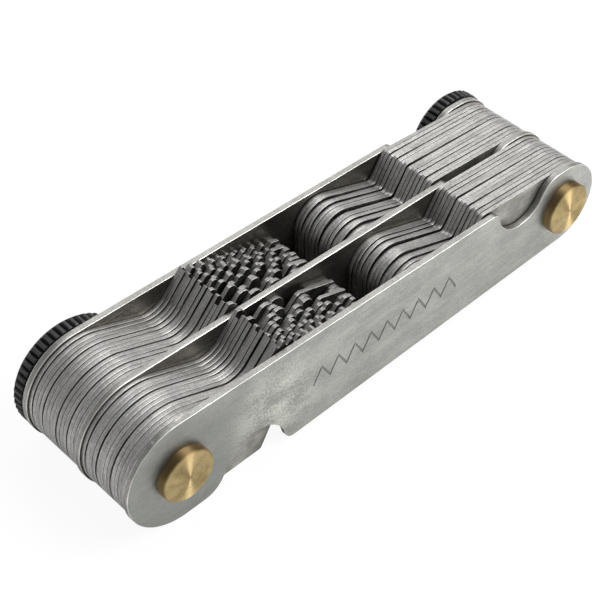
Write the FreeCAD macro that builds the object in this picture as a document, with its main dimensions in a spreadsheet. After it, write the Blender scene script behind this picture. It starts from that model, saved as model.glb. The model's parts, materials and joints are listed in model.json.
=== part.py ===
"""Folding screw-pitch gauge: a three-plate steel case with 52 toothed blades.

The blades hang on two screws, one at each end of the case, in a front and a rear compartment.
Local axes while modelling: X along the line of the two pivots, Y through the stack from the
front plate to the rear plate, Z up. Every sub-part is drawn with its own pivot at its origin.
"""
import FreeCAD, Part
import math
import os

import Sketcher
from FreeCAD import Placement, Rotation, Vector

# Pitches in millimetres, coarsest last, so the coarsest lies against the middle plate.
METRIC_NARROW = [0.25, 0.30, 0.35, 0.40, 0.45, 0.50, 0.60, 0.70, 0.75, 0.80, 0.90, 1.00]
METRIC_WIDE = [1.25, 1.50, 1.75, 2.00, 2.50, 3.00, 3.50, 4.00, 4.50, 5.00, 5.50, 6.00]
# Threads per inch, coarsest first, so the coarsest lies against the middle plate.
WHITWORTH_WIDE = [4, 4.5, 5, 6, 7, 8, 9, 10, 11, 12, 13, 14, 16, 18]
WHITWORTH_NARROW = [19, 20, 22, 24, 25, 26, 28, 30, 32, 36, 40, 48, 60, 62]
INCH = 25.4
# Steps from one blade to the next that keep their rows, leans and gaps from repeating.
START_STEP = 0.618
LEAN_STEP = 2.4
GAP_STEP = 0.27
GAP_WAVE = 0.1
GAP_WAVE_STEP = 1.9
# Least start of a tooth row: a smaller one would cut the head's corner away.
LEAST_START = 0.55
METRIC_ANGLE = 60.0
WHITWORTH_ANGLE = 55.0

# Driving dimensions in millimetres and degrees: (name, value, what it sets).
DIMENSIONS = [
    ("pivot_span", 62.0, "distance between the two pivots"),
    ("wide_end_radius", 7.5, "round end of a plate at the wide end"),
    ("narrow_end_radius", 5.8, "round end of a plate at the narrow end"),
    ("plate_thickness", 0.8, "each of the three plates"),
    ("wide_scoop_radius", 4.75, "bottom thumb notch"),
    ("wide_scoop_place", 10.2, "bottom notch, from the wide pivot"),
    ("wide_scoop_inset", 0.75, "bottom notch centre, inside the radius of the wide end"),
    ("narrow_scoop_radius", 4.2, "top thumb notch"),
    ("narrow_scoop_place", 7.9, "top notch, back from the narrow pivot"),
    ("narrow_scoop_outset", 0.1, "top notch centre, outside the radius of the narrow end"),
    ("scoop_lip_radius", 1.2, "rounded corner of a notch, on its middle side"),
    ("scoop_shoulder_radius", 3.2, "rounded corner of a notch, on its pivot side"),
    ("blade_thickness", 0.5, "one blade"),
    ("blade_gap", 0.12, "mean space beside each blade"),
    ("wide_unevenness", 1.6, "spread of the wide-end blades, as a share of the gap"),
    ("narrow_unevenness", 0.6, "spread of the narrow-end blades, as a share of the gap"),
    ("blade_inset", 0.25, "round end of a blade inside that of its plate"),
    ("front_layers", max(len(METRIC_WIDE), len(METRIC_NARROW)),
     "blades at each end of the front compartment"),
    ("rear_layers", max(len(WHITWORTH_WIDE), len(WHITWORTH_NARROW)),
     "blades at each end of the rear compartment"),
    ("neck_place", 10.8, "lowest point of a blade's neck, from its pivot"),
    ("neck_height", 3.55, "neck above the pivot line"),
    ("neck_radius", 3.4, "hollow of the neck"),
    ("head_place", 15.1, "first tooth corner, from the pivot"),
    ("wide_head_height", 8.2, "first tooth corner of a wide-end blade"),
    ("narrow_head_height", 6.9, "first tooth corner of a narrow-end blade"),
    ("tooth_edge_angle", 18.3, "slope of the toothed edge towards the tip"),
    ("tip_space", 3.4, "left free between the tips of the two ends' blades"),
    ("tip_depth", 7.3, "tip corner before rounding, below the pivot line"),
    ("tip_radius", 3.6, "rounded back corner of the tip"),
    ("wide_back_depth", 7.0, "straight back edge of a wide-end blade, below the pivot line"),
    ("narrow_back_depth", 6.55, "straight back edge of a narrow-end blade"),
    ("wide_step_place", 11.9, "end of the straight back edge of a wide-end blade"),
    ("narrow_step_place", 14.2, "end of the straight back edge of a narrow-end blade"),
    ("step_run", 2.4, "length of the step in the back edge"),
    ("step_depth", 2.9, "foot of the step, below the pivot line"),
    ("step_radius", 0.6, "rounded corners of the step"),
    ("corner_radius", 0.2, "rounded ends of the toothed edge"),
    ("shank_radius", 2.0, "pivot screw"),
    ("running_clearance", 0.05, "radial, of everything on a screw"),
    ("thread_step", 0.25, "threaded end inside the radius of the shank"),
    ("thread_lead_in", 0.3, "chamfer at the end of the screw"),
    ("screw_head_radius", 3.5, "brass head"),
    ("screw_head_height", 1.15, "side of the brass head"),
    ("screw_cone_height", 0.22, "cone on top of the head"),
    ("screw_head_bevel", 0.12, "broken edge of the head"),
    ("wide_nut_radius", 7.45, "thumb nut of the wide end, over the knurling"),
    ("narrow_nut_radius", 5.95, "thumb nut of the narrow end, over the knurling"),
    ("nut_thickness", 1.85, "disc of a thumb nut"),
    ("nut_hub_radius", 4.2, "raised hub on the front of a thumb nut"),
    ("nut_hub_height", 0.3, "the hub, proud of the disc"),
    ("nut_bevel", 0.45, "rear rim of the thumb nut"),
    ("nut_front_bevel", 0.15, "front rim of the thumb nut"),
    ("nut_gap", 0.05, "loosened nut off the rear plate"),
    ("wide_knurl_count", 50.0, "grooves round the thumb nut of the wide end"),
    ("narrow_knurl_count", 40.0, "grooves round the thumb nut of the narrow end"),
    ("knurl_depth", 0.4, "one groove"),
    ("knurl_width", 0.62, "one groove, at the rim"),
    ("crest_share", 0.25, "top of a tooth, as a share of the pitch"),
    ("crest_break_share", 0.07, "broken corner of that top, along the edge"),
    ("crest_drop_share", 0.05, "broken corner of that top, in depth"),
    ("root_share", 0.10, "flat foot of a groove, as a share of the pitch"),
    ("blade_unevenness", 0.55, "most that a closed blade stands off the pack's line, degrees"),
    ("mark_height", 2.2, "stamped zigzag on the front plate"),
    ("mark_stroke", 0.22, "stamped zigzag, width of its line"),
    ("mark_depth", 0.12, "stamped zigzag, into the plate"),
    ("mark_pitch", 2.6, "stamped zigzag, one tooth"),
    ("mark_teeth", 9.0, "stamped zigzag, number of teeth"),
]

# Expressions that several sub-parts share.
LAYER = "(Sizes.blade_thickness + Sizes.blade_gap)"
FRONT_SPACE = f"(Sizes.front_layers * {LAYER} + Sizes.blade_gap)"
REAR_SPACE = f"(Sizes.rear_layers * {LAYER} + Sizes.blade_gap)"
MIDDLE_FACE = f"(Sizes.plate_thickness + {FRONT_SPACE})"
REAR_FACE = f"({MIDDLE_FACE} + Sizes.plate_thickness + {REAR_SPACE})"
STACK = f"({REAR_FACE} + Sizes.plate_thickness)"
NUT_FACE = f"({STACK} + Sizes.nut_gap)"
SCREW_TIP = f"({NUT_FACE} + Sizes.nut_hub_height + Sizes.nut_thickness)"
BORE = "(Sizes.shank_radius + Sizes.running_clearance)"
HEAD_TOP = "(Sizes.screw_head_height + Sizes.screw_cone_height)"
THREAD = "(Sizes.shank_radius - Sizes.thread_step)"
TIP_PLACE = "((Sizes.pivot_span - Sizes.tip_space) / 2)"
WIDE_SCOOP_LIFT = "(Sizes.wide_end_radius - Sizes.wide_scoop_inset)"
NARROW_SCOOP_LIFT = "(Sizes.narrow_end_radius + Sizes.narrow_scoop_outset)"
WIDE_REACH = "max(Sizes.wide_end_radius; Sizes.wide_nut_radius)"
NARROW_REACH = "max(Sizes.narrow_end_radius; Sizes.narrow_nut_radius)"

# The assembly's origin: the middle of its base.
CENTRE_X = f"((Sizes.pivot_span + {NARROW_REACH} - {WIDE_REACH}) / 2)"
CENTRE_Y = f"(({SCREW_TIP} - {HEAD_TOP}) / 2)"
PIVOT_HEIGHT = WIDE_REACH

document = FreeCAD.newDocument("ScrewPitchGauge")
sizes = document.addObject("Spreadsheet::Sheet", "Sizes")


def write_sizes():
    """Fill the sheet: name, value and note in columns A, B and C."""
    for row, (name, number, note) in enumerate(DIMENSIONS, start=1):
        sizes.set(f"A{row}", name)
        sizes.set(f"B{row}", str(number))
        sizes.set(f"C{row}", note)
        sizes.setAlias(f"B{row}", name)
    document.recompute()


def value(expression):
    """The number that an expression of the sheet's cells gives now."""
    result = sizes.evalExpression(expression.replace("Sizes.", ""))
    return float(getattr(result, "Value", result))


def origin_plane(body, role):
    """One of the body's own origin planes."""
    for feature in body.Origin.OriginFeatures:
        if feature.Role == role:
            return feature
    raise ValueError(role)


def new_body(label):
    body = document.addObject("PartDesign::Body", label)
    body.Label = label
    return body


def new_sketch(body, name, role):
    sketch = body.newObject("Sketcher::SketchObject", name)
    sketch.AttachmentSupport = [(origin_plane(body, role), "")]
    sketch.MapMode = "FlatFace"
    return sketch


def set_by(sketch, index, expression):
    """Bind the datum of a sketch constraint to an expression."""
    sketch.setExpression(f"Constraints[{index}]", expression)


def pin(sketch, geometry, point, across, up):
    """Place a point of the sketch at two expressions, measured from the sketch's origin."""
    directions = (("DistanceX", across, -2), ("DistanceY", up, -1))
    for kind, expression, axis in directions:
        number = value(expression)
        if number == 0:
            sketch.addConstraint(Sketcher.Constraint("PointOnObject", geometry, point, axis))
            continue
        index = sketch.addConstraint(Sketcher.Constraint(kind, -1, 1, geometry, point, number))
        set_by(sketch, index, expression)


def add_circle(sketch, across, up, radius):
    centre = Vector(value(across), value(up), 0)
    circle = sketch.addGeometry(Part.Circle(centre, Vector(0, 0, 1), value(radius)))
    pin(sketch, circle, 3, across, up)
    set_by(sketch, sketch.addConstraint(
        Sketcher.Constraint("Radius", circle, value(radius))), radius)
    return circle


def add_polygon(sketch, corners):
    """Closed outline of straight lines; corners are pairs of expressions."""
    points = [Vector(value(across), value(up), 0) for across, up in corners]
    count = len(points)
    lines = [
        sketch.addGeometry(Part.LineSegment(points[i], points[(i + 1) % count]))
        for i in range(count)
    ]
    sketch.addConstraint([
        Sketcher.Constraint("Coincident", lines[i - 1], 2, lines[i], 1) for i in range(count)
    ])
    for line, (across, up) in zip(lines, corners):
        pin(sketch, line, 1, across, up)


def tangent_point(radius, outside, side):
    """Where the line from a point touches a circle about the origin, on its left (1) or right."""
    reach = math.acos(radius / outside.Length)
    angle = math.atan2(outside.y, outside.x) + side * reach
    return Vector(radius * math.cos(angle), radius * math.sin(angle), 0)


def fillet_points(before, corner, after, radius):
    """Start, middle and end of the arc that rounds a corner between two straight lines."""
    incoming = (before - corner).normalize()
    outgoing = (after - corner).normalize()
    half = incoming.getAngle(outgoing) / 2
    along = radius / math.tan(half)
    bisector = (incoming + outgoing).normalize()
    centre = corner + bisector * (radius / math.sin(half))
    return corner + incoming * along, centre - bisector * radius, corner + outgoing * along


def add_blade_outline(sketch, end_radius, corners):
    """Outline of a blade: a round end about the pivot, then rounded corners joined by lines.

    corners are (across, up, radius) expressions, clockwise from the neck to the back edge.
    """
    points = [Vector(value(across), value(up), 0) for across, up, _ in corners]
    radius = value(end_radius)
    first = tangent_point(radius, points[0], 1)
    last = tangent_point(radius, points[-1], -1)
    path = [first] + points + [last]
    arcs = []
    for index, (_, _, corner_radius) in enumerate(corners, start=1):
        around = fillet_points(path[index - 1], path[index], path[index + 1], value(corner_radius))
        arcs.append(around)
    ends = [first] + [point for around in arcs for point in (around[0], around[2])] + [last]
    lines = [
        sketch.addGeometry(Part.LineSegment(ends[i], ends[i + 1])) for i in range(0, len(ends), 2)
    ]
    far_side = Vector(-radius, 0, 0)
    round_end = sketch.addGeometry(Part.Arc(last, far_side, first))
    constraints = [Sketcher.Constraint("Coincident", round_end, 3, -1, 1)]
    constraints += joined(sketch, round_end, first, lines[0])
    constraints += joined(sketch, round_end, last, lines[-1])
    for index, around in enumerate(arcs):
        arc = sketch.addGeometry(Part.Arc(*around))
        constraints += joined(sketch, arc, around[0], lines[index])
        constraints += joined(sketch, arc, around[2], lines[index + 1])
        corner = sketch.addGeometry(Part.Point(points[index]), True)
        constraints.append(Sketcher.Constraint("PointOnObject", corner, 1, lines[index]))
        constraints.append(Sketcher.Constraint("PointOnObject", corner, 1, lines[index + 1]))
        across, up, corner_radius = corners[index]
        set_by(sketch, sketch.addConstraint(
            Sketcher.Constraint("Radius", arc, value(corner_radius))), corner_radius)
        pin(sketch, corner, 1, across, up)
    sketch.addConstraint(constraints)
    set_by(sketch, sketch.addConstraint(
        Sketcher.Constraint("Radius", round_end, radius)), end_radius)


def joined(sketch, arc, meeting, line):
    """Tangent joint between the ends of an arc and of a line that lie at one point."""
    def nearest(geometry):
        starts = sketch.getPoint(geometry, 1)
        finishes = sketch.getPoint(geometry, 2)
        return 1 if starts.distanceToPoint(meeting) < finishes.distanceToPoint(meeting) else 2
    return [Sketcher.Constraint("Tangent", arc, nearest(arc), line, nearest(line))]


def pad(body, sketch, name, length):
    """Extrude an XZ sketch towards the rear, +Y."""
    feature = body.newObject("PartDesign::Pad", name)
    feature.Profile = sketch
    feature.Length = value(length)
    feature.setExpression("Length", length)
    feature.Reversed = True
    return feature


def cut_through(body, sketch, name):
    """Cut an XZ sketch through the whole piece."""
    feature = body.newObject("PartDesign::Pocket", name)
    feature.Profile = sketch
    feature.Type = "ThroughAll"
    return feature


def must_shrink(before, after):
    """Refuse a cut that missed the solid."""
    if not after.Shape.Volume < before.Shape.Volume:
        raise RuntimeError(f"{after.Name} cuts nothing")


def put(body, across, along, up, rotation=Rotation()):
    """Place a body in the assembly: its pivot at expressions measured in the case."""
    body.Placement = Placement(Vector(0, 0, 0), rotation)
    body.setExpression("Placement.Base.x", f"{across} - {CENTRE_X}")
    body.setExpression("Placement.Base.y", f"{along} - {CENTRE_Y}")
    body.setExpression("Placement.Base.z", f"{up} + {PIVOT_HEIGHT}")


def add_case_outline(sketch):
    """Tapered outline: two round ends and their common outer tangents."""
    wide = value("Sizes.wide_end_radius")
    narrow = value("Sizes.narrow_end_radius")
    span = value("Sizes.pivot_span")
    lean = math.acos((wide - narrow) / span)
    unit = Vector(math.cos(lean), math.sin(lean), 0)
    mirrored = Vector(unit.x, -unit.y, 0)
    far = Vector(span, 0, 0)
    top = sketch.addGeometry(Part.LineSegment(unit * wide, far + unit * narrow))
    bottom = sketch.addGeometry(Part.LineSegment(far + mirrored * narrow, mirrored * wide))
    wide_arc = sketch.addGeometry(Part.Arc(mirrored * wide, Vector(-wide, 0, 0), unit * wide))
    narrow_arc = sketch.addGeometry(
        Part.Arc(far + unit * narrow, far + Vector(narrow, 0, 0), far + mirrored * narrow))
    constraints = [Sketcher.Constraint("Coincident", wide_arc, 3, -1, 1)]
    constraints += joined(sketch, wide_arc, unit * wide, top)
    constraints += joined(sketch, wide_arc, mirrored * wide, bottom)
    constraints += joined(sketch, narrow_arc, far + unit * narrow, top)
    constraints += joined(sketch, narrow_arc, far + mirrored * narrow, bottom)
    sketch.addConstraint(constraints)
    pin(sketch, narrow_arc, 3, "Sizes.pivot_span", "0")
    for arc, radius in ((wide_arc, "Sizes.wide_end_radius"),
                        (narrow_arc, "Sizes.narrow_end_radius")):
        set_by(sketch, sketch.addConstraint(
            Sketcher.Constraint("Radius", arc, value(radius))), radius)


def scoop_corners(shape, inner):
    """Names of the edges where a scoop meets the long edges of a plate.

    inner picks the corners on the middle side of the scoops, the others are on the pivot side.
    """
    names = []
    for index, edge in enumerate(shape.Edges, start=1):
        start, end = edge.Vertexes[0].Point, edge.Vertexes[-1].Point
        if abs(start.x - end.x) > 1e-6 or abs(start.z - end.z) > 1e-6:
            continue
        for centre_x, centre_z, radius, towards_middle in scoop_circles():
            reach = math.hypot(start.x - centre_x, start.z - centre_z)
            if abs(reach - radius) > 1e-4:
                continue
            on_middle_side = (start.x - centre_x) * towards_middle > 0
            if on_middle_side == inner:
                names.append(f"Edge{index}")
    return names


def scoop_circles():
    """Centre and radius of each scoop, and the direction from it to the middle of the plate."""
    span = value("Sizes.pivot_span")
    wide = (value("Sizes.wide_scoop_place"), -value(WIDE_SCOOP_LIFT),
            value("Sizes.wide_scoop_radius"), 1)
    narrow = (span - value("Sizes.narrow_scoop_place"), value(NARROW_SCOOP_LIFT),
              value("Sizes.narrow_scoop_radius"), -1)
    return [wide, narrow]


def round_scoops(body, base, name, radius, inner):
    document.recompute()
    feature = body.newObject("PartDesign::Fillet", name)
    feature.Base = (base, scoop_corners(base.Shape, inner))
    feature.Radius = value(radius)
    feature.setExpression("Radius", radius)
    return feature


def make_plate(label, along):
    """One of the three case plates, with its front face at the given place in the stack."""
    body = new_body(label)
    outline = new_sketch(body, f"{label}_outline", "XZ_Plane")
    add_case_outline(outline)
    add_circle(outline, "0", "0", BORE)
    add_circle(outline, "Sizes.pivot_span", "0", BORE)
    sheet_metal = pad(body, outline, f"{label}_pad", "Sizes.plate_thickness")
    scoops = new_sketch(body, f"{label}_scoops", "XZ_Plane")
    add_circle(scoops, "Sizes.wide_scoop_place", f"-{WIDE_SCOOP_LIFT}",
               "Sizes.wide_scoop_radius")
    add_circle(scoops, "Sizes.pivot_span - Sizes.narrow_scoop_place", NARROW_SCOOP_LIFT,
               "Sizes.narrow_scoop_radius")
    notched = cut_through(body, scoops, f"{label}_notches")
    lips = round_scoops(body, notched, f"{label}_lips", "Sizes.scoop_lip_radius", True)
    round_scoops(body, lips, f"{label}_shoulders", "Sizes.scoop_shoulder_radius", False)
    must_shrink(sheet_metal, notched)
    put(body, "0", along, "0")
    return body


def stamp_mark(body):
    """Zigzag of thread teeth stamped into the face of the front plate."""
    plain = body.Tip
    sketch = new_sketch(body, "thread_mark", "XZ_Plane")
    start = "((Sizes.pivot_span - Sizes.mark_teeth * Sizes.mark_pitch) / 2)"
    upper = []
    lower = []
    for step in range(2 * round(value("Sizes.mark_teeth")) + 1):
        across = f"{start} + {step} * Sizes.mark_pitch / 2"
        height = "Sizes.mark_height / 2" if step % 2 else "-Sizes.mark_height / 2"
        upper.append((across, f"{height} + Sizes.mark_stroke"))
        lower.append((across, f"{height} - Sizes.mark_stroke"))
    add_polygon(sketch, upper + lower[::-1])
    mark = body.newObject("PartDesign::Pocket", "thread_mark_pocket")
    mark.Profile = sketch
    mark.Type = "Length"
    mark.Length = value("Sizes.mark_depth")
    mark.setExpression("Length", "Sizes.mark_depth")
    document.recompute()
    must_shrink(plain, mark)


def make_screw(label, across):
    """Brass pivot screw: cone-faced head, shank through the stack, thinner threaded end."""
    body = new_body(label)
    profile = new_sketch(body, f"{label}_profile", "XY_Plane")
    head = "Sizes.screw_head_radius"
    add_polygon(profile, [
        ("0", f"-{HEAD_TOP}"),
        (f"{head} - Sizes.screw_head_bevel", "-Sizes.screw_head_height"),
        (head, "-Sizes.screw_head_height + Sizes.screw_head_bevel"),
        (head, "0"),
        ("Sizes.shank_radius", "0"),
        ("Sizes.shank_radius", STACK),
        (THREAD, STACK),
        (THREAD, f"{SCREW_TIP} - Sizes.thread_lead_in"),
        (f"{THREAD} - Sizes.thread_lead_in", SCREW_TIP),
        ("0", SCREW_TIP),
    ])
    turned = body.newObject("PartDesign::Revolution", f"{label}_turned")
    turned.Profile = profile
    turned.ReferenceAxis = (profile, ["V_Axis"])
    turned.Angle = 360
    put(body, across, "0", "0")
    return body


def make_nut(label, across, rim, count):
    """Thumb nut: bevelled disc with straight knurling and a raised hub towards the case."""
    body = new_body(label)
    profile = new_sketch(body, f"{label}_profile", "XY_Plane")
    bore = f"({THREAD} + Sizes.running_clearance)"
    back = "(Sizes.nut_hub_height + Sizes.nut_thickness)"
    add_polygon(profile, [
        (bore, "0"),
        ("Sizes.nut_hub_radius", "0"),
        ("Sizes.nut_hub_radius", "Sizes.nut_hub_height"),
        (f"{rim} - Sizes.nut_front_bevel", "Sizes.nut_hub_height"),
        (rim, "Sizes.nut_hub_height + Sizes.nut_front_bevel"),
        (rim, f"{back} - Sizes.nut_bevel"),
        (f"{rim} - Sizes.nut_bevel", back),
        (bore, back),
    ])
    disc = body.newObject("PartDesign::Revolution", f"{label}_disc")
    disc.Profile = profile
    disc.ReferenceAxis = (profile, ["V_Axis"])
    disc.Angle = 360
    groove = new_sketch(body, f"{label}_groove", "XZ_Plane")
    centre_angle = f"(180 deg / {count})"
    foot = f"({rim} - Sizes.knurl_depth)"
    mouth = f"({rim} + Sizes.knurl_depth)"
    add_polygon(groove, [
        (f"{foot} * cos{centre_angle}", f"{foot} * sin{centre_angle}"),
        (f"{mouth} * cos{centre_angle} + Sizes.knurl_width * sin{centre_angle}",
         f"{mouth} * sin{centre_angle} - Sizes.knurl_width * cos{centre_angle}"),
        (f"{mouth} * cos{centre_angle} - Sizes.knurl_width * sin{centre_angle}",
         f"{mouth} * sin{centre_angle} + Sizes.knurl_width * cos{centre_angle}"),
    ])
    cut = body.newObject("PartDesign::Pocket", f"{label}_groove_cut")
    cut.Profile = groove
    cut.Type = "ThroughAll"
    knurl = body.newObject("PartDesign::PolarPattern", f"{label}_knurling")
    knurl.Originals = [cut]
    knurl.Axis = (groove, ["N_Axis"])
    knurl.Angle = 360
    knurl.Occurrences = round(value(count))
    body.Tip = knurl
    document.recompute()
    must_shrink(disc, cut)
    must_shrink(cut, knurl)
    put(body, across, NUT_FACE, "0")
    return body


def blade_corners(head_height, back_depth, step_place):
    """Corners of a blade: neck, first tooth corner, tip, back corner, foot and top of the step."""
    tip_height = (f"({head_height} - ({TIP_PLACE} - Sizes.head_place)"
                  " * tan(Sizes.tooth_edge_angle * 1 deg))")
    return [
        ("Sizes.neck_place", "Sizes.neck_height", "Sizes.neck_radius"),
        ("Sizes.head_place", head_height, "Sizes.corner_radius"),
        (TIP_PLACE, tip_height, "Sizes.corner_radius"),
        (TIP_PLACE, "-Sizes.tip_depth", "Sizes.tip_radius"),
        (f"{step_place} + Sizes.step_run", "-Sizes.step_depth", "Sizes.step_radius"),
        (step_place, f"-{back_depth}", "Sizes.step_radius"),
    ]


def cut_teeth(body, label, blank, head_height, pitch, thread_angle, start):
    """One groove between two teeth, then the rest of the row along the toothed edge.

    start shifts the row along the edge, as a share of the pitch: 1 leaves the head's corner whole.
    """
    flank = f"tan({thread_angle / 2} deg)"
    half_mouth = f"({pitch} * (1 - Sizes.crest_share) / 2)"
    half_root = f"({pitch} * Sizes.root_share / 2)"
    depth = f"(({half_mouth} - {half_root}) / {flank})"
    first = f"({pitch} * (Sizes.crest_share + {start:.3f} - 1) + {half_mouth})"
    relief = f"({pitch} * Sizes.root_share)"
    slant = f"({pitch} * Sizes.crest_break_share)"
    drop = f"({pitch} * Sizes.crest_drop_share)"
    groove = new_sketch(body, f"{label}_groove", "XZ_Plane")
    slope = Rotation(Vector(0, 0, 1), -value("Sizes.tooth_edge_angle"))
    groove.AttachmentOffset = Placement(Vector(0, 0, 0), slope)
    groove.setExpression("AttachmentOffset.Base.x", "Sizes.head_place")
    groove.setExpression("AttachmentOffset.Base.y", head_height)
    add_polygon(groove, [
        (f"{first} - {half_mouth} - {slant}", relief),
        (f"{first} - {half_mouth} - {slant}", "0"),
        (f"{first} - {half_mouth} + {drop} * {flank}", f"-{drop}"),
        (f"{first} - {half_root}", f"-{depth}"),
        (f"{first} + {half_root}", f"-{depth}"),
        (f"{first} + {half_mouth} - {drop} * {flank}", f"-{drop}"),
        (f"{first} + {half_mouth} + {slant}", "0"),
        (f"{first} + {half_mouth} + {slant}", relief),
    ])
    cut = cut_through(body, groove, f"{label}_groove_cut")
    edge_length = f"({TIP_PLACE} - Sizes.head_place) / cos(Sizes.tooth_edge_angle * 1 deg)"
    last = f"({edge_length} - {half_mouth} - {slant} - {relief})"
    grooves = 1 + int(value(f"({last} - {first})") / value(pitch))
    document.recompute()
    must_shrink(blank, cut)
    if grooves < 2:
        return
    row = body.newObject("PartDesign::LinearPattern", f"{label}_teeth")
    row.Originals = [cut]
    row.Direction = (groove, ["H_Axis"])
    row.Occurrences = grooves
    row.Length = value(f"{pitch} * {grooves - 1}")
    row.setExpression("Length", f"{pitch} * {grooves - 1}")
    body.Tip = row
    document.recompute()
    must_shrink(cut, row)


def make_blade(label, pitch, thread_angle, wide_end, compartment_face, layer, number):
    """One toothed blade, closed into the case at its own layer of a compartment."""
    end = "wide" if wide_end else "narrow"
    head_height = f"Sizes.{end}_head_height"
    corners = blade_corners(head_height, f"Sizes.{end}_back_depth", f"Sizes.{end}_step_place")
    body = new_body(label)
    outline = new_sketch(body, f"{label}_outline", "XZ_Plane")
    add_blade_outline(outline, f"Sizes.{end}_end_radius - Sizes.blade_inset", corners)
    add_circle(outline, "0", "0", BORE)
    blank = pad(body, outline, f"{label}_blank", "Sizes.blade_thickness")
    start = LEAST_START + (1 - LEAST_START) * (START_STEP * number % 1)
    cut_teeth(body, label, blank, head_height, pitch, thread_angle, start)
    sway = math.sin(LEAN_STEP * number)
    drift = 0.5 - (GAP_STEP * number + GAP_WAVE * math.sin(GAP_WAVE_STEP * number)) % 1
    lean = value("Sizes.blade_unevenness") * sway
    turn = lean if wide_end else 180 + lean
    along = (f"{compartment_face} + Sizes.blade_gap + {layer} * {LAYER}"
             f" + Sizes.blade_gap * Sizes.{end}_unevenness * {drift:.3f}")
    across = "0" if wide_end else "Sizes.pivot_span"
    put(body, across, along, "0", Rotation(Vector(0, 1, 0), turn))
    return body


def blade_schedule():
    """Every blade: label, pitch in millimetres, thread angle, wide end or not, space, layer."""
    front = "Sizes.plate_thickness"
    rear = f"({MIDDLE_FACE} + Sizes.plate_thickness)"
    schedule = []
    for wide_end, pitches in ((True, METRIC_WIDE), (False, METRIC_NARROW)):
        for layer, pitch in enumerate(pitches):
            label = f"metric_blade_{pitch:.2f}_mm".replace(".", "_")
            schedule.append((label, pitch, METRIC_ANGLE, wide_end, front, layer))
    for wide_end, counts in ((True, WHITWORTH_WIDE), (False, WHITWORTH_NARROW)):
        for layer, count in enumerate(counts):
            label = f"whitworth_blade_{count:04.1f}_tpi".replace(".", "_")
            schedule.append((label, INCH / count, WHITWORTH_ANGLE, wide_end, rear, layer))
    return schedule


def write_pitches(schedule):
    """Add every blade's pitch to the sheet, under the blade's own name."""
    for row, (label, pitch, *_) in enumerate(schedule, start=len(DIMENSIONS) + 1):
        sizes.set(f"A{row}", label)
        sizes.set(f"B{row}", f"{pitch:.6f}")
        sizes.set(f"C{row}", "pitch")
        sizes.setAlias(f"B{row}", f"pitch_of_{label}")
    document.recompute()


def build():
    """Every sub-part, in the order that the gauge is assembled."""
    write_sizes()
    schedule = blade_schedule()
    write_pitches(schedule)
    front = make_plate("front_plate", "0")
    stamp_mark(front)
    bodies = [
        front,
        make_plate("middle_plate", MIDDLE_FACE),
        make_plate("rear_plate", REAR_FACE),
        make_screw("wide_end_screw", "0"),
        make_screw("narrow_end_screw", "Sizes.pivot_span"),
        make_nut("wide_end_thumb_nut", "0", "Sizes.wide_nut_radius", "Sizes.wide_knurl_count"),
        make_nut("narrow_end_thumb_nut", "Sizes.pivot_span", "Sizes.narrow_nut_radius",
                 "Sizes.narrow_knurl_count"),
    ]
    for number, (label, _, thread_angle, wide_end, face, layer) in enumerate(schedule):
        pitch = f"Sizes.pitch_of_{label}"
        bodies.append(make_blade(label, pitch, thread_angle, wide_end, face, layer, number))
    document.recompute()
    return bodies


def check(bodies):
    """Stop if any feature failed or any sub-part isn't one sound solid."""
    for item in document.Objects:
        if "Invalid" in item.State or "Error" in item.State:
            raise RuntimeError(f"{item.Name}: {item.State}")
    for body in bodies:
        shape = body.Shape
        if shape.isNull() or not shape.isValid() or len(shape.Solids) != 1:
            raise RuntimeError(f"{body.Label}: not one valid solid")


def export(bodies):
    os.makedirs("parts", exist_ok=True)
    for body in bodies:
        body.Shape.exportStep(os.path.join("parts", f"{body.Label}.step"))


parts = build()
check(parts)
export(parts)
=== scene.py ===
"""Folding screw pitch gauge: a three-plate steel case, 52 toothed blades on two brass
screws, and two black thumb nuts, finished and set on a pale studio floor."""

import json
import math

import bpy
from bpy.props import FloatProperty, FloatVectorProperty, PointerProperty
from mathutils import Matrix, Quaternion, Vector


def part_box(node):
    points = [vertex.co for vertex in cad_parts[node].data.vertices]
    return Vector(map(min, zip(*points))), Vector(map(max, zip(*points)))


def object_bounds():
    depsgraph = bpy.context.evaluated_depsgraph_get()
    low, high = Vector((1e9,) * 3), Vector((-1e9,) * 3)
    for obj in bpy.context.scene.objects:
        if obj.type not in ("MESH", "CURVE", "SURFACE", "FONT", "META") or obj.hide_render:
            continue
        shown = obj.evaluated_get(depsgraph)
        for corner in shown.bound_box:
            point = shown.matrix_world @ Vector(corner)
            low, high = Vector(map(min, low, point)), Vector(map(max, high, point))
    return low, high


bl_info = {
    "name": "Screw pitch gauge",
    "version": (1, 0, 0),
    "blender": (4, 5, 0),
    "location": "3D View > Sidebar > Gauge",
    "description": "Finishes a folding screw pitch gauge and sets it on a studio floor",
    "category": "Object",
}

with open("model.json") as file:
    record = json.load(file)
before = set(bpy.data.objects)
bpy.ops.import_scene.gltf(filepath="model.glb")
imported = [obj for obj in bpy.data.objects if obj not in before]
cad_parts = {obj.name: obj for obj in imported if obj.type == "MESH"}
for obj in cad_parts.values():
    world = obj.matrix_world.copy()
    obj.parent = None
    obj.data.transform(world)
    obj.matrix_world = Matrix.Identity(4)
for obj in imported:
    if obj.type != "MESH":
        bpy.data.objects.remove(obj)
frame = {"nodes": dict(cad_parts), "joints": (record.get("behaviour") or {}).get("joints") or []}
cad_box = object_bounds()
MM = 0.001
JOINED_WITHIN = 0.001 * MM
FLAT_WITHIN = math.radians(0.5)
SHARP_FROM = math.radians(35.0)
FLOOR_REACH = 3.0
BACKGROUND_LIFT = 0.93
PLATES = ("front_plate", "middle_plate", "rear_plate")
ENDS = ("wide_end", "narrow_end")
BLADES = sorted(name for name in frame["nodes"] if "_blade_" in name)
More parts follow.
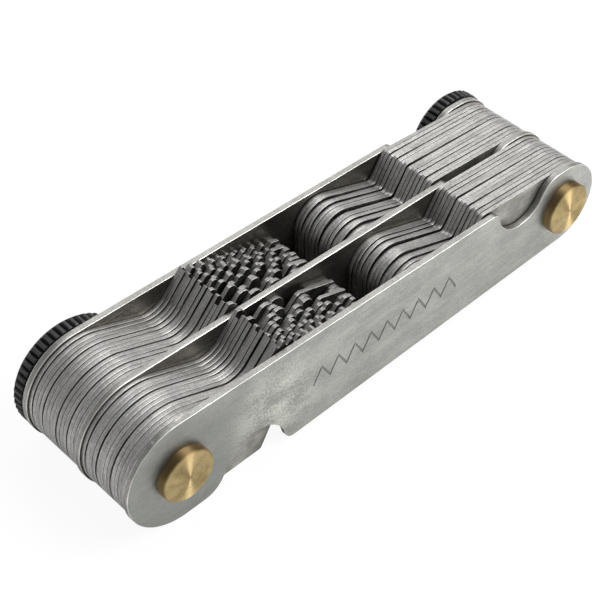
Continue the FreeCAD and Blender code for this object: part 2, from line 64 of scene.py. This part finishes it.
# Softboxes: name, the setting that holds its power, direction, distance and size in metres.
SOFTBOXES = (
    ("key_softbox", "key_power", (0.47, -0.50, 0.72), 0.45, 0.28),
    ("back_softbox", "back_power", (0.45, 0.50, 0.74), 0.50, 0.45),
    ("side_softbox", "side_power", (-0.80, 0.55, 0.34), 0.45, 0.28),
)


def pivots():
    """Centre of the wide end's screw and of the narrow end's, taken from the nuts' joints."""
    places = {joint["child"]: Vector(joint["pos_m"]) for joint in frame["joints"]}
    return [places[f"{end}_thumb_nut"] for end in ENDS]


def shade(name, default, note):
    """A linear colour that the panel shows."""
    return FloatVectorProperty(name=name, description=note, default=default, subtype="COLOR",
                               size=3, min=0.0, max=1.0)


def share(name, default, note):
    """A plain number from nothing to one."""
    return FloatProperty(name=name, description=note, default=default, min=0.0, max=1.0,
                         subtype="FACTOR")


def length(name, default, note):
    return FloatProperty(name=name, description=note, default=default, min=0.0,
                         unit="LENGTH", precision=5)


class CaseFinish(bpy.types.PropertyGroup):
    """Brushed steel of the three plates."""
    face: shade("Face", (0.40, 0.403, 0.375), "Brushed outer face")
    face_dark: shade("Face, dull", (0.26, 0.267, 0.248), "Oiled streaks in the brushed face")
    # Painted highlight: this pale colour paints a bright patch beside the thumb notch; it also
    # colours the scratches.
    worn: shade("Worn", (0.66, 0.655, 0.58), "Face rubbed bright beside the thumb notch")
    # Inner faces are painted darker than the outer faces: painted shade between plates and blades,
    # over streaks. The dull colour also paints the shade in the stamped mark.
    inside: shade("Inside", (0.24, 0.225, 0.20), "Inner faces, towards the blades")
    shaded_inside_dark: shade("Inside, dull", (0.10, 0.092, 0.08), "Oil and dust on the inner faces")
    edge: shade("Edge", (0.34, 0.336, 0.32), "Ground edge")
    edge_dark: shade("Edge, dull", (0.20, 0.196, 0.185), "Grain of the ground edge")
    # Painted highlight along the broken corners of a plate.
    corner: shade("Corner", (0.80, 0.79, 0.74), "Corner rubbed bright between face and edge")
    roughness: share("Roughness", 0.42, "Blur of the brushed face")
    broken_edge: length("Broken edge", 0.07 * MM, "Width of the broken edges of a plate")


class BladeFinish(bpy.types.PropertyGroup):
    """Ground steel of the blades."""
    edge: shade("Edge", (0.55, 0.543, 0.525), "Ground edge of a blade")
    edge_dark: shade("Edge, dull", (0.20, 0.196, 0.188), "Grain across the edge")
    face: shade("Face", (0.40, 0.397, 0.365), "Flat face")
    face_dark: shade("Face, dull", (0.23, 0.226, 0.203), "Stains on the flat face")
    # Near-black colour for the flat faces beside the teeth.
    darkened: shade("Oiled", (0.030, 0.028, 0.025), "Old oil on the flat face beside the teeth")
    # Painted highlight along the broken corners of a blade.
    corner: shade("Corner", (0.70, 0.69, 0.68), "Corner rubbed bright between face and edge")
    roughness: share("Roughness", 0.50, "Blur of the ground edge")
    broken_edge: length("Broken edge", 0.045 * MM, "Width of the broken edges of a blade")


class BrassFinish(bpy.types.PropertyGroup):
    """Turned brass of the pivot screws."""
    brass: shade("Brass", (0.51, 0.395, 0.195), "Turned face")
    # This colour also paints shade on the side of the head.
    tarnish: shade("Tarnish", (0.15, 0.098, 0.045), "Tarnish on the side and in the turning marks")
    roughness: share("Roughness", 0.58, "Blur of the turned face")
    turning: share("Turning", 0.92, "How far the turning marks stretch a highlight")


class NutFinish(bpy.types.PropertyGroup):
    """Black finish of the thumb nuts."""
    black: shade("Black", (0.006, 0.0065, 0.006), "Blackened steel")
    worn: shade("Worn", (0.030, 0.032, 0.030), "Worn ridges of the knurling")
    roughness: share("Roughness", 0.46, "Blur of the black finish")
    broken_edge: length("Broken edge", 0.04 * MM, "Width of the broken edges of a nut")


class StudioSetup(bpy.types.PropertyGroup):
    """Floor, light and camera."""
    floor: shade("Floor", (0.93, 0.93, 0.93), "Paper of the floor")
    key_power: FloatProperty(name="Key light", description="Softbox at the front right",
                             default=2.2, min=0.0, unit="POWER")
    back_power: FloatProperty(name="Back light", description="Softbox above the far side",
                             default=1.3, min=0.0, unit="POWER")
    side_power: FloatProperty(name="Side light", description="Softbox at the far left",
                              default=0.06, min=0.0, unit="POWER")
    dome: share("Dome", 0.42, "Light from the white room all round")
    lens: FloatProperty(name="Lens", description="Focal length in millimetres on a 36 mm frame",
                        default=96.51, min=1.0, subtype="DISTANCE_CAMERA")
    azimuth: FloatProperty(name="Azimuth", description="Camera, round from the front",
                           default=math.radians(-41.923), subtype="ANGLE")
    elevation: FloatProperty(name="Elevation", description="Camera, above the horizon",
                             default=math.radians(45.059), subtype="ANGLE")
    roll: FloatProperty(name="Roll", description="Camera, about its own line of sight",
                        default=math.radians(-1.122), subtype="ANGLE")
    distance: length("Distance", 192.324 * MM, "Camera to the point that it looks at")
    aim: FloatVectorProperty(name="Aim", description="Point looked at, from the gauge's centre",
                             default=(-2.880 * MM, 1.220 * MM, -1.264 * MM), size=3,
                             subtype="TRANSLATION")


# ---------------------------------------------------------------- node building

def add_node(tree, kind, inputs=None, **settings):
    """A new shader node; an input takes either a socket to be linked or a plain value."""
    node = tree.nodes.new(kind)
    for key, setting in settings.items():
        setattr(node, key, setting)
    for key, given in (inputs or {}).items():
        if isinstance(given, bpy.types.NodeSocket):
            tree.links.new(given, node.inputs[key])
        else:
            node.inputs[key].default_value = given
    return node


def maths(tree, operation, first, second=0.0):
    return add_node(tree, "ShaderNodeMath", {0: first, 1: second}, operation=operation).outputs[0]


def total(tree, *parts):
    """Sum of numbers, each with its weight."""
    first, *others = [maths(tree, "MULTIPLY", given, weight) for given, weight in parts]
    for part in others:
        first = maths(tree, "ADD", first, part)
    return first


def between(tree, given, low, high, to_low=0.0, to_high=1.0):
    """Rescale and clamp a number, with soft ends."""
    return add_node(tree, "ShaderNodeMapRange", {
        "Value": given, "From Min": low, "From Max": high, "To Min": to_low, "To Max": to_high,
    }, interpolation_type="SMOOTHSTEP").outputs["Result"]


def blend(tree, amount, first, second):
    """Mix two colours, each a socket or a plain colour."""
    node = add_node(tree, "ShaderNodeMix", {"Factor": amount}, data_type="RGBA")
    for key, given in ((6, first), (7, second)):
        if isinstance(given, bpy.types.NodeSocket):
            tree.links.new(given, node.inputs[key])
        else:
            node.inputs[key].default_value = (*given, 1.0)
    return node.outputs[2]


def grain(tree, place, per_metre, detail=3.0, turn=(0.0, 0.0, 0.0), roughness=0.55):
    """Noise with its own count of cells per metre along each axis."""
    mapped = add_node(tree, "ShaderNodeMapping", {
        "Vector": place, "Rotation": turn, "Scale": per_metre}).outputs["Vector"]
    return add_node(tree, "ShaderNodeTexNoise", {
        "Vector": mapped, "Scale": 1.0, "Detail": detail, "Roughness": roughness,
    }).outputs["Fac"]


def facing(tree):
    """How squarely a surface looks along the screws, from nought to one."""
    normal = add_node(tree, "ShaderNodeNewGeometry").outputs["Normal"]
    along = add_node(tree, "ShaderNodeSeparateXYZ", {0: normal}).outputs["Y"]
    return maths(tree, "ABSOLUTE", along)


def flat_share(tree):
    """One on the flat faces and nought on the edges."""
    return between(tree, facing(tree), 0.55, 0.9)


def corner_share(tree):
    """One on the broken corner between a flat face and an edge."""
    slant = facing(tree)
    return maths(tree, "MULTIPLY", between(tree, slant, 0.12, 0.4),
                 between(tree, slant, 0.8, 0.97, 1.0, 0.0))


def place_of(tree):
    return add_node(tree, "ShaderNodeTexCoord").outputs["Object"]


def new_finish(name):
    """An empty metal material: its node tree and its shader."""
    material = bpy.data.materials.new(name)
    material.use_nodes = True
    tree = material.node_tree
    tree.nodes.clear()
    shader = add_node(tree, "ShaderNodeBsdfPrincipled", {"Metallic": 1.0})
    add_node(tree, "ShaderNodeOutputMaterial", {"Surface": shader.outputs[0]})
    return material, tree, shader


def bump(tree, height, distance, strength=1.0, under=None):
    inputs = {"Height": height, "Distance": distance, "Strength": strength}
    if under is not None:
        inputs["Normal"] = under
    return add_node(tree, "ShaderNodeBump", inputs).outputs["Normal"]


def finish_shader(tree, shader, sockets):
    for key, socket in sockets.items():
        tree.links.new(socket, shader.inputs[key])


def distance_from(tree, place, centre):
    """Distance from an axis that runs along Y through a point."""
    offset = add_node(tree, "ShaderNodeVectorMath", {0: place, 1: centre},
                      operation="SUBTRACT").outputs[0]
    across = add_node(tree, "ShaderNodeVectorMath", {0: offset, 1: (1.0, 0.0, 1.0)},
                      operation="MULTIPLY").outputs[0]
    return add_node(tree, "ShaderNodeVectorMath", {0: across}, operation="LENGTH").outputs["Value"]


# ---------------------------------------------------------------- finishes

def case_steel(finish):
    """Plates: lengthwise brushing, oiled streaks, scratches, painted shade around the wide-end
    screw, on the inner faces and in the stamped mark, and painted highlights beside the thumb notch
    and on the broken corners.
    """
    material, tree, shader = new_finish("case_steel_brushed")
    place = place_of(tree)
    wide_pivot, narrow_pivot = pivots()
    brushing = grain(tree, place, (150.0, 3000.0, 6200.0), 5.0, roughness=0.65)
    clouds = grain(tree, place, (200.0, 200.0, 320.0), 4.0)
    pores = grain(tree, place, (4200.0, 4200.0, 4200.0), 3.0)
    crossing = grain(tree, place, (14000.0, 2600.0, 14000.0), 3.0)
    scratch_noise = grain(tree, place, (70.0, 400.0, 3800.0), 2.0, (0.0, math.radians(63.0), 0.0))
    scratches = between(tree, scratch_noise, 0.71, 0.75)
    tone = total(tree, (brushing, 0.28), (clouds, 0.30), (pores, 0.42))
    streaks = between(tree, tone, 0.36, 0.64)
    face = blend(tree, streaks, tuple(finish.face_dark), tuple(finish.face))
    # Painted shade: the face darkens towards the wide-end screw.
    darkened = between(tree, distance_from(tree, place, wide_pivot), 6.0 * MM, 14.0 * MM, 0.9, 0.0)
    painted_shade_tone = blend(tree, streaks, tuple(0.82 * c for c in finish.face_dark),
                 tuple(1.06 * c for c in finish.face_dark))
    face = blend(tree, darkened, face, painted_shade_tone)
    # Painted highlight: a pale mottled patch on the face beside the thumb notch.
    notch = wide_pivot + Vector((14.0 * MM, 0.0, -0.5 * MM))
    lightened = total(tree, (pores, 0.5), (clouds, 0.5))
    lightened = maths(tree, "MULTIPLY", between(tree, lightened, 0.42, 0.60),
                   between(tree, distance_from(tree, place, notch), 0.5 * MM, 9.0 * MM, 0.65, 0.0))
    face = blend(tree, lightened, face, tuple(finish.worn))
    # Painted shade: the inner faces take darker colours than the outer faces.
    inside = blend(tree, streaks, tuple(finish.shaded_inside_dark), tuple(finish.inside))
    outer_low, outer_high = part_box("front_plate")[0].y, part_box("rear_plate")[1].y
    through = add_node(tree, "ShaderNodeSeparateXYZ", {0: place}).outputs["Y"]
    depth = maths(tree, "ABSOLUTE", maths(tree, "SUBTRACT", through, (outer_low + outer_high) / 2))
    half_stack = (outer_high - outer_low) / 2
    outside = between(tree, depth, half_stack - 0.6 * MM, half_stack - 0.3 * MM)
    face = blend(tree, outside, inside, face)
    edge = blend(tree, between(tree, crossing, 0.3, 0.7), tuple(finish.edge_dark),
                 tuple(finish.edge))
    flat = flat_share(tree)
    colour = blend(tree, flat, edge, face)
    colour = blend(tree, maths(tree, "MULTIPLY", scratches, 0.5), colour, tuple(finish.worn))
    offset = add_node(tree, "ShaderNodeVectorMath", {
        0: place, 1: (wide_pivot + narrow_pivot) / 2}, operation="SUBTRACT").outputs[0]
    offset = add_node(tree, "ShaderNodeSeparateXYZ", {0: offset}).outputs
    plain = maths(tree, "MAXIMUM",
                  between(tree, maths(tree, "ABSOLUTE", offset["Z"]), 1.6 * MM, 2.0 * MM),
                  between(tree, maths(tree, "ABSOLUTE", offset["X"]), 12.5 * MM, 13.0 * MM))
    # Painted highlight along the broken corners, kept off the stamped mark.
    corner_highlight = maths(tree, "MULTIPLY", corner_share(tree),
                          between(tree, clouds, 0.3, 0.6, 0.55, 1.0))
    colour = blend(tree, maths(tree, "MULTIPLY", corner_highlight, plain), colour,
                   tuple(finish.corner))
    # Painted shade in the recess of the stamped mark.
    stamped = maths(tree, "MULTIPLY",
                    between(tree, through, outer_low + 0.02 * MM, outer_low + 0.06 * MM),
                    between(tree, through, outer_low + 0.6 * MM, outer_low + 0.7 * MM, 1.0, 0.0))
    stamped = maths(tree, "MULTIPLY", stamped, between(tree, plain, 0.0, 1.0, 0.45, 0.0))
    colour = blend(tree, stamped, colour, tuple(finish.shaded_inside_dark))
    roughness = between(tree, clouds, 0.25, 0.75, finish.roughness + 0.08, finish.roughness - 0.06)
    lines = blend(tree, flat, crossing, brushing)
    height = maths(tree, "SUBTRACT", maths(tree, "ADD", lines, maths(tree, "MULTIPLY", pores, 0.4)),
                   maths(tree, "MULTIPLY", scratches, 1.5))
    finish_shader(tree, shader, {
        "Base Color": colour, "Roughness": roughness,
        "Normal": bump(tree, height, 0.012 * MM, 0.5)})
    return material


def blade_steel(finish):
    """Blades: cross-ground edges, faces near-black beside the teeth, painted highlights on the
    broken corners, a tone of its own for each.
    """
    material, tree, shader = new_finish("blade_steel_ground")
    place = place_of(tree)
    own_tone = add_node(tree, "ShaderNodeObjectInfo").outputs["Random"]
    from_wide, from_narrow = [distance_from(tree, place, centre) for centre in pivots()]
    by_teeth = between(tree, maths(tree, "MINIMUM", from_wide, from_narrow), 12.0 * MM, 15.5 * MM)
    open_teeth = maths(tree, "MULTIPLY", between(tree, from_wide, 12.0 * MM, 15.5 * MM),
                       between(tree, from_wide, 30.5 * MM, 31.5 * MM, 1.0, 0.0))
    crossing = grain(tree, place, (6500.0, 900.0, 6500.0), 4.0, (0.0, 0.0, 0.3), 0.7)
    speckle = grain(tree, place, (7000.0, 7000.0, 7000.0), 2.0)
    clouds = grain(tree, place, (300.0, 900.0, 300.0), 3.0)
    stains = grain(tree, place, (500.0, 500.0, 500.0), 5.0, roughness=0.6)
    rubbing = grain(tree, place, (260.0, 2000.0, 4200.0), 4.0)
    tone = maths(tree, "ADD", maths(tree, "MULTIPLY", crossing, 0.5),
                 maths(tree, "MULTIPLY", speckle, 0.5))
    edge = blend(tree, between(tree, tone, 0.28, 0.68), tuple(finish.edge_dark),
                 tuple(finish.edge))
    dulled = maths(tree, "MULTIPLY", own_tone, 0.35)
    dulled = maths(tree, "ADD", dulled, between(tree, clouds, 0.45, 0.75, 0.0, 0.25))
    dulled = maths(tree, "MAXIMUM", dulled, maths(tree, "MULTIPLY", open_teeth, 0.5))
    edge = blend(tree, dulled, edge, tuple(finish.edge_dark))
    face_tone = maths(tree, "ADD", maths(tree, "MULTIPLY", stains, 0.6),
                      maths(tree, "MULTIPLY", rubbing, 0.4))
    face = blend(tree, between(tree, face_tone, 0.38, 0.66), tuple(finish.face_dark),
                 tuple(finish.face))
    # The flat faces beside the teeth go near-black.
    darkening = maths(tree, "MULTIPLY", by_teeth, between(tree, stains, 0.3, 0.7, 1.0, 0.75))
    face = blend(tree, darkening, face, tuple(finish.darkened))
    flat = flat_share(tree)
    roughness = between(tree, clouds, 0.25, 0.75, finish.roughness - 0.05, finish.roughness + 0.1)
    lines = blend(tree, flat, tone, rubbing)
    # Painted highlight along the broken corners of each blade.
    worn = maths(tree, "MULTIPLY", corner_share(tree), between(tree, stains, 0.35, 0.6, 0.3, 1.0))
    colour = blend(tree, worn, blend(tree, flat, edge, face), tuple(finish.corner))
    finish_shader(tree, shader, {
        "Base Color": colour, "Roughness": roughness,
        "Normal": bump(tree, lines, 0.02 * MM, 0.6)})
    return material


def turned_brass(finish, end, centre):
    """Screw: turning rings about its own axis with tarnish in them, painted shade on the side of
    the head.
    """
    material, tree, shader = new_finish(f"{end}_brass_turned")
    place = place_of(tree)
    radius = distance_from(tree, place, centre)
    ring_place = add_node(tree, "ShaderNodeCombineXYZ", {0: radius}).outputs[0]
    rings = grain(tree, ring_place, (5200.0, 1.0, 1.0), 4.0, roughness=0.7)
    clouds = grain(tree, place, (700.0, 700.0, 700.0), 4.0)
    specks = between(tree, grain(tree, place, (3500.0, 3500.0, 3500.0), 2.0), 0.62, 0.74)
    flat = flat_share(tree)
    tarnish = between(tree, maths(tree, "ADD", maths(tree, "MULTIPLY", rings, 0.6),
                                  maths(tree, "MULTIPLY", clouds, 0.4)), 0.42, 0.66, 0.0, 0.45)
    tarnish = maths(tree, "MAXIMUM", tarnish, maths(tree, "MULTIPLY", specks, 0.35))
    face = blend(tree, tarnish, tuple(finish.brass), tuple(finish.tarnish))
    # Painted shade: the side of the head mostly takes the dark tarnish colour, as a painted
    # reflection of the dark plate.
    side = blend(tree, maths(tree, "MULTIPLY", clouds, 0.35), tuple(finish.tarnish),
                 tuple(finish.brass))
    finish_shader(tree, shader, {
        "Base Color": blend(tree, flat, side, face),
        "Roughness": between(tree, clouds, 0.3, 0.7, finish.roughness - 0.05,
                             finish.roughness + 0.08),
        "Normal": bump(tree, rings, 0.01 * MM, 0.5),
        "Tangent": add_node(tree, "ShaderNodeTangent", direction_type="RADIAL",
                            axis="Y").outputs[0]})
    shader.inputs["Anisotropic"].default_value = finish.turning
    shader.inputs["Anisotropic Rotation"].default_value = 0.25
    return material


def blackened(finish, end, centre, rim):
    """Nut: satin black with the ridges of the knurling worn to grey."""
    material, tree, shader = new_finish(f"{end}_nut_black")
    place = place_of(tree)
    radius = distance_from(tree, place, centre)
    pores = grain(tree, place, (2800.0, 2800.0, 2800.0), 3.0)
    clouds = grain(tree, place, (450.0, 450.0, 450.0), 4.0)
    turning = grain(tree, add_node(tree, "ShaderNodeCombineXYZ", {0: radius}).outputs[0],
                    (4200.0, 1.0, 1.0), 3.0)
    ridge = between(tree, radius, rim - 0.22 * MM, rim - 0.03 * MM)
    wear = maths(tree, "MULTIPLY", ridge, between(tree, clouds, 0.3, 0.6, 0.35, 1.0))
    lightened = maths(tree, "MULTIPLY", between(tree, turning, 0.5, 0.75), 0.25)
    colour = blend(tree, maths(tree, "MAXIMUM", wear, lightened), tuple(finish.black),
                   tuple(finish.worn))
    finish_shader(tree, shader, {
        "Base Color": colour,
        "Roughness": between(tree, clouds, 0.3, 0.7, finish.roughness - 0.06,
                             finish.roughness + 0.1),
        "Normal": bump(tree, maths(tree, "ADD", pores, turning), 0.012 * MM, 0.5)})
    shader.inputs["Metallic"].default_value = 0.0
    shader.inputs["Specular IOR Level"].default_value = 0.35
    return material


# ---------------------------------------------------------------- pieces

def dress(name, material, broken_edge):
    """Give a piece its finish and break its sharp edges."""
    piece = frame["nodes"][name]
    for slot in piece.material_slots:
        slot.material = material
    weld = piece.modifiers.new("joined_faces", "WELD")
    weld.merge_threshold = JOINED_WITHIN
    flatten = piece.modifiers.new("whole_faces", "DECIMATE")
    flatten.decimate_type = "DISSOLVE"
    flatten.angle_limit = FLAT_WITHIN
    broken = piece.modifiers.new("broken_edges", "BEVEL")
    broken.width = broken_edge
    broken.segments = 2
    broken.limit_method = "ANGLE"
    broken.angle_limit = SHARP_FROM
    broken.harden_normals = True


class GAUGE_OT_case_plates(bpy.types.Operator):
    """Finish the front, middle and rear plates of the case"""
    bl_idname = "gauge.case_plates"
    bl_label = "Case Plates"

    def execute(self, context):
        finish = context.scene.gauge_case
        steel = case_steel(finish)
        for name in PLATES:
            dress(name, steel, finish.broken_edge)
        return {"FINISHED"}


class GAUGE_OT_blades(bpy.types.Operator):
    """Finish the toothed blades of both ends"""
    bl_idname = "gauge.blades"
    bl_label = "Toothed Blades"

    def execute(self, context):
        finish = context.scene.gauge_blades
        steel = blade_steel(finish)
        for name in BLADES:
            dress(name, steel, finish.broken_edge)
        return {"FINISHED"}


class GAUGE_OT_pivot_screws(bpy.types.Operator):
    """Finish the two brass pivot screws"""
    bl_idname = "gauge.pivot_screws"
    bl_label = "Pivot Screws"

    def execute(self, context):
        finish = context.scene.gauge_brass
        for end, centre in zip(ENDS, pivots()):
            piece = frame["nodes"][f"{end}_screw"]
            brass = turned_brass(finish, end, centre)
            for slot in piece.material_slots:
                slot.material = brass
        return {"FINISHED"}


class GAUGE_OT_thumb_nuts(bpy.types.Operator):
    """Finish the two knurled thumb nuts"""
    bl_idname = "gauge.thumb_nuts"
    bl_label = "Thumb Nuts"

    def execute(self, context):
        finish = context.scene.gauge_nuts
        for end, centre in zip(ENDS, pivots()):
            low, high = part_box(f"{end}_thumb_nut")
            black = blackened(finish, end, centre, (high.x - low.x) / 2)
            dress(f"{end}_thumb_nut", black, finish.broken_edge)
        return {"FINISHED"}


def aim_light(name, direction, reach, size, power, target):
    """A square softbox that faces a point."""
    data = bpy.data.lights.new(name, "AREA")
    data.shape = "SQUARE"
    data.size = size
    data.energy = power
    light = bpy.data.objects.new(name, data)
    light.location = target + Vector(direction).normalized() * reach
    light.rotation_mode = "QUATERNION"
    light.rotation_quaternion = (target - light.location).to_track_quat("-Z", "Y")
    bpy.context.collection.objects.link(light)


def lay_floor(setup):
    """Pale paper that stays white to the eye and lights the gauge from below."""
    mesh = bpy.data.meshes.new("floor")
    signs = ((-1, -1), (1, -1), (1, 1), (-1, 1))
    corners = [(FLOOR_REACH * x, FLOOR_REACH * y, 0) for x, y in signs]
    mesh.from_pydata(corners, [], [(0, 1, 2, 3)])
    floor = bpy.data.objects.new("floor", mesh)
    bpy.context.collection.objects.link(floor)
    material = bpy.data.materials.new("floor_paper")
    material.use_nodes = True
    tree = material.node_tree
    tree.nodes.clear()
    fibres = grain(tree, place_of(tree), (900.0, 900.0, 900.0), 3.0)
    tone = blend(tree, between(tree, fibres, 0.3, 0.7), tuple(0.98 * c for c in setup.floor),
                 tuple(setup.floor))
    paper = add_node(tree, "ShaderNodeBsdfDiffuse", {"Color": tone})
    glow = add_node(tree, "ShaderNodeEmission", {"Color": (1.0, 1.0, 1.0, 1.0), "Strength": 1.0})
    seen = add_node(tree, "ShaderNodeLightPath").outputs["Is Camera Ray"]
    lift = maths(tree, "MULTIPLY", seen, BACKGROUND_LIFT)
    mixed = add_node(tree, "ShaderNodeMixShader", {0: lift, 1: paper.outputs[0],
                                                   2: glow.outputs[0]})
    add_node(tree, "ShaderNodeOutputMaterial", {"Surface": mixed.outputs[0]})
    mesh.materials.append(material)


def light_room(setup):
    """White room: full white where it is looked at, dimmer as a source of light."""
    world = bpy.data.worlds.new("studio")
    world.use_nodes = True
    tree = world.node_tree
    tree.nodes.clear()
    seen = add_node(tree, "ShaderNodeLightPath").outputs["Is Camera Ray"]
    strength = between(tree, seen, 0.0, 1.0, setup.dome, 1.0)
    background = add_node(tree, "ShaderNodeBackground", {
        "Color": (1.0, 1.0, 1.0, 1.0), "Strength": strength})
    add_node(tree, "ShaderNodeOutputWorld", {"Surface": background.outputs[0]})
    bpy.context.scene.world = world


def set_camera(setup, centre):
    data = bpy.data.cameras.new("camera")
    data.lens = setup.lens
    data.sensor_width = 36.0
    data.clip_start = 0.01
    camera = bpy.data.objects.new("camera", data)
    around, above = setup.azimuth, setup.elevation
    back = Vector((math.sin(around) * math.cos(above), -math.cos(around) * math.cos(above),
                   math.sin(above)))
    camera.location = centre + Vector(setup.aim) + back * setup.distance
    camera.rotation_mode = "QUATERNION"
    camera.rotation_quaternion = ((-back).to_track_quat("-Z", "Y")
                                  @ Quaternion((0.0, 0.0, 1.0), setup.roll))
    bpy.context.collection.objects.link(camera)
    bpy.context.scene.camera = camera


class GAUGE_OT_stage(bpy.types.Operator):
    """Lay the floor, light the room and set up the camera"""
    bl_idname = "gauge.stage"
    bl_label = "Floor, Light and Camera"

    def execute(self, context):
        setup = context.scene.gauge_studio
        centre = (cad_box[0] + cad_box[1]) / 2
        context.scene.view_settings.view_transform = "Standard"
        lay_floor(setup)
        light_room(setup)
        for name, power, direction, reach, size in SOFTBOXES:
            aim_light(name, direction, reach, size, getattr(setup, power), centre)
        set_camera(setup, centre)
        return {"FINISHED"}


STEPS = (GAUGE_OT_case_plates, GAUGE_OT_blades, GAUGE_OT_pivot_screws, GAUGE_OT_thumb_nuts,
         GAUGE_OT_stage)
SETTINGS = {"gauge_case": CaseFinish, "gauge_blades": BladeFinish, "gauge_brass": BrassFinish,
            "gauge_nuts": NutFinish, "gauge_studio": StudioSetup}


class GAUGE_PT_panel(bpy.types.Panel):
    """Every step of the gauge, with its sizes and colours"""
    bl_idname = "GAUGE_PT_panel"
    bl_label = "Screw Pitch Gauge"
    bl_space_type = "VIEW_3D"
    bl_region_type = "UI"
    bl_category = "Gauge"

    def draw(self, context):
        for step in STEPS:
            self.layout.operator(step.bl_idname)
        for name, group in SETTINGS.items():
            box = self.layout.box()
            box.label(text=group.__doc__)
            settings = getattr(context.scene, name)
            for key in group.__annotations__:
                box.prop(settings, key)


def register():
    for group in SETTINGS.values():
        bpy.utils.register_class(group)
    for step in STEPS:
        bpy.utils.register_class(step)
    bpy.utils.register_class(GAUGE_PT_panel)
    for name, group in SETTINGS.items():
        setattr(bpy.types.Scene, name, PointerProperty(type=group))


def unregister():
    for name in SETTINGS:
        delattr(bpy.types.Scene, name)
    bpy.utils.unregister_class(GAUGE_PT_panel)
    for kind in (*STEPS, *SETTINGS.values()):
        bpy.utils.unregister_class(kind)


def main():
    """Make every piece in order."""
    register()
    bpy.ops.gauge.case_plates()
    bpy.ops.gauge.blades()
    bpy.ops.gauge.pivot_screws()
    bpy.ops.gauge.thumb_nuts()
    bpy.ops.gauge.stage()


if __name__ == "__main__":
    main()
